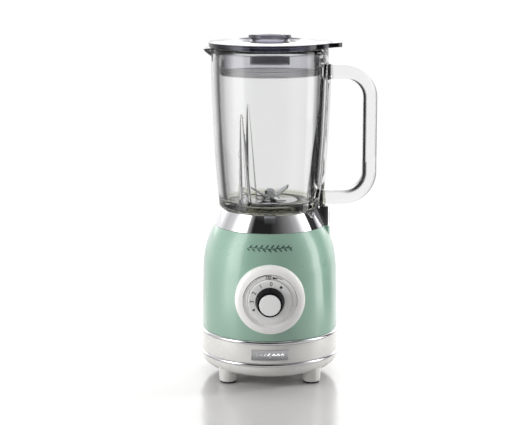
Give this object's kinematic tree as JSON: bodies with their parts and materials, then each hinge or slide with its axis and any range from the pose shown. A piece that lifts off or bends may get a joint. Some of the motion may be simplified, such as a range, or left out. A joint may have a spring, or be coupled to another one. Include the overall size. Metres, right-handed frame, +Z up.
{
  "type": "countertop blender",
  "caption": "Countertop blender: painted power base with a rotary dial on four peg feet, and a lift-off glass jug with handle, spout, lid and filler cap.",
  "frame": {"origin": "on the drive axis, at the level of the worktop, centred between the four foot pads", "axes": "+Z up along the drive axis; the dial faces -Y; the jug's handle points along +X and its spout along -X"},
  "size_m": [0.2051, 0.1907, 0.4],
  "materials": {
    "painted_shell": "gloss mint enamel",
    "chrome": "polished",
    "cream_plastic": "gloss cream",
    "brushed_plate": "brushed",
    "black_plastic": "satin",
    "gloss_black": "gloss",
    "white_plastic": "gloss",
    "clear_glass": "clear, slightly green",
    "smoked_plastic": "smoked, translucent",
    "clear_seal": "translucent silicone",
    "grey_plastic": "satin",
    "rubber": "matt",
    "steel": "machined",
    "lamination": "varnished laminations",
    "copper": "enamelled winding",
    "brass": "satin",
    "carbon": "pressed carbon",
    "board": "printed board",
    "lead_red": "insulated lead"
  },
  "bodies": {
    "base": {"shell": "painted_shell", "collar": "chrome", "jug_seat": "black_plastic", "band": "cream_plastic", "upper_trim_ring": "chrome", "lower_trim_ring": "chrome", "base_pan": "cream_plastic", "foot_front_left": "cream_plastic", "foot_front_right": "cream_plastic", "foot_back_left": "cream_plastic", "foot_back_right": "cream_plastic", "foot_pads": "rubber", "base_screws": "steel", "nameplate": "brushed_plate", "bezel": "cream_plastic", "speed_switch": "black_plastic", "control_board": "board", "interlock_switch": "black_plastic", "cord_gland": "black_plastic", "cord_clamp": "black_plastic", "air_guide": "black_plastic", "stator_core": "lamination", "field_coils": "copper", "upper_bracket": "steel", "lower_bracket": "steel", "tie_bolts": "steel", "upper_bearing": "steel", "lower_bearing": "steel", "brush_holders": "brass", "carbon_brushes": "carbon", "motor_bushes": "rubber", "motor_screws": "steel", "wiring": "lead_red"},
    "rotor": {"motor_shaft": "steel", "armature_core": "lamination", "armature_winding": "copper", "commutator": "copper", "cooling_fan": "black_plastic", "drive_coupling": "rubber"},
    "dial": {"knob": "gloss_black", "knob_cap": "white_plastic", "dial_disc": "white_plastic", "switch_shaft": "steel"},
    "interlock": {"interlock_plunger": "white_plastic", "plunger_spring": "steel"},
    "jug": {"jug_glass": "clear_glass", "jug_base_ring": "grey_plastic", "jug_seal": "rubber", "blade_carrier": "steel", "blade_bush": "brass"},
    "blades": {"blade_shaft": "steel", "thrust_washer": "steel", "lower_blades": "steel", "upper_blades": "steel", "blade_nut": "steel", "driven_coupling": "black_plastic"},
    "lid": {"lid": "smoked_plastic", "lid_seal": "clear_seal"},
    "cap": {"filler_cap": "smoked_plastic"}
  },
  "joints": [
    {"name": "motor_spin", "type": "hinge", "parent": "base", "child": "rotor", "pos_m": [0, 0, 0.11], "axis": [0, 0, 1], "continuous": true},
    {"name": "speed_dial", "type": "hinge", "parent": "base", "child": "dial", "pos_m": [0, -0.0956, 0.1055], "axis": [0, 1, 0], "range_deg": [-37, 118]},
    {"name": "jug_lift", "type": "slide", "parent": "base", "child": "jug", "axis": [0, 0, 1], "range_m": [0, 0.12]},
    {"name": "interlock_rise", "type": "slide", "parent": "base", "child": "interlock", "axis": [0, 0, 1], "range_m": [0, 0.003], "deforming": ["plunger_spring"]},
    {"name": "blade_spin", "type": "hinge", "parent": "jug", "child": "blades", "pos_m": [0, 0, 0.2], "axis": [0, 0, 1], "continuous": true},
    {"name": "lid_lift", "type": "slide", "parent": "jug", "child": "lid", "axis": [0, 0, 1], "range_m": [0, 0.06]},
    {"name": "cap_lift", "type": "slide", "parent": "lid", "child": "cap", "axis": [0, 0, 1], "range_m": [0, 0.045]}
  ],
  "couplings": [
    {"joint": "blade_spin", "follows": "motor_spin", "ratio": 1},
    {"joint": "interlock_rise", "follows": "jug_lift", "ratio": 0.025}
  ]
}
